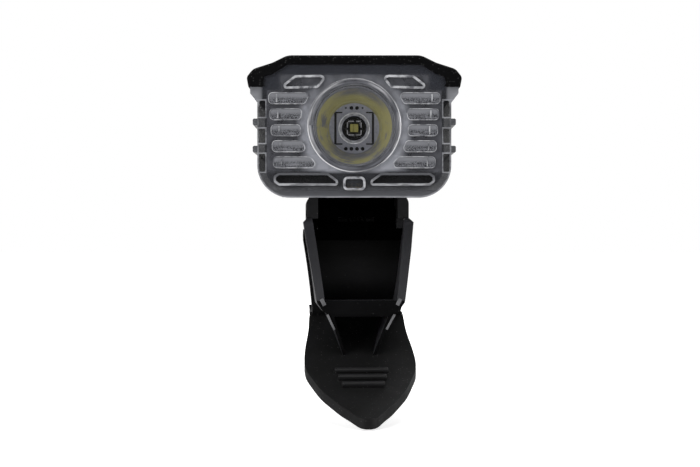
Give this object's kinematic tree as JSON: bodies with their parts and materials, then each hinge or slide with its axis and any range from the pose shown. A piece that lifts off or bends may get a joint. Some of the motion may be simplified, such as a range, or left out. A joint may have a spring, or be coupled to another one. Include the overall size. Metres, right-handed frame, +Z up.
{
  "type": "bike headlight",
  "caption": "Bike headlight with a ribbed smoky body, a winged black top, a round collimating lens and a sprung squeeze clip under it for the handlebar.",
  "frame": {"origin": "middle of the handlebar's axis in the clip, straight below the swivel's axis", "axes": "+Z up, -Y the way the beam points, +X across the light; the clip is turned 4.5 degrees about Z"},
  "size_m": [0.0598, 0.1076, 0.1036],
  "materials": {
    "cover_black": "fine matte",
    "shell_smoke": "polished, smoky clear",
    "gasket_rubber": "smooth",
    "screw_steel": "zinc plated",
    "inner_black": "matte",
    "optic_clear": "polished",
    "board_white": "solder mask",
    "collar_white": "smooth",
    "led_body": "smooth",
    "phosphor": "matte",
    "sink_aluminium": "milled",
    "cell_wrap": "shrink sleeve",
    "nickel": "rolled",
    "circuit_board": "solder mask",
    "switch_body": "smooth",
    "button_rubber": "soft touch",
    "light_guide": "polished",
    "socket_metal": "stamped",
    "insert_brass": "knurled",
    "clip_black": "fine matte",
    "brace_black": "satin",
    "pad_rubber": "ribbed",
    "spring_black": "oiled"
  },
  "bodies": {
    "clip": {"clip_base": "clip_black", "upper_pad": "pad_rubber", "hinge_pin": "screw_steel", "torsion_spring": "spring_black", "friction_washer": "pad_rubber", "wave_washer": "screw_steel"},
    "light": {"body_shell": "shell_smoke", "top_cover": "cover_black", "seal_gasket": "gasket_rubber", "housing_screws": "screw_steel", "front_frame": "inner_black", "tir_optic": "optic_clear", "optic_cup": "inner_black", "led_board": "board_white", "led_collar": "collar_white", "led_package": "led_body", "led_phosphor": "phosphor", "led_dome": "optic_clear", "heat_sink": "sink_aluminium", "battery_left": "cell_wrap", "battery_right": "cell_wrap", "battery_straps": "nickel", "battery_tray": "inner_black", "main_board": "circuit_board", "board_screws": "screw_steel", "button_switch": "switch_body", "charge_lights": "light_guide", "usb_socket": "socket_metal", "usb_cover_anchor": "button_rubber", "swivel_insert": "insert_brass", "swivel_screw": "screw_steel"},
    "lever": {"lever_brace": "brace_black", "lever_arm": "clip_black", "jaw_pad": "pad_rubber"},
    "button": {"power_button": "button_rubber", "switch_plunger": "collar_white"},
    "port_cover": {"usb_cover": "button_rubber"}
  },
  "joints": [
    {"name": "swivel", "type": "hinge", "parent": "clip", "child": "light", "pos_m": [0, 0, 0.02], "axis": [0, 0, 1], "range_deg": [-26, 34]},
    {"name": "lever_hinge", "type": "hinge", "parent": "clip", "child": "lever", "pos_m": [0.00063, -0.00797, 0.0159], "axis": [-0.9969, -0.0785, 0], "range_deg": [0, 32], "stiffness_Nm_per_rad": 0.5, "springref_deg": -28.65, "deforming": ["torsion_spring"]},
    {"name": "button_press", "type": "slide", "parent": "light", "child": "button", "axis": [0, 0, -1], "range_m": [0, 0.0005], "stiffness_N_per_m": 3000, "springref_m": -0.0003},
    {"name": "port_cover_hinge", "type": "hinge", "parent": "light", "child": "port_cover", "pos_m": [0, 0.0565, 0.045], "axis": [-1, 0, 0], "range_deg": [0, 100]}
  ]
}
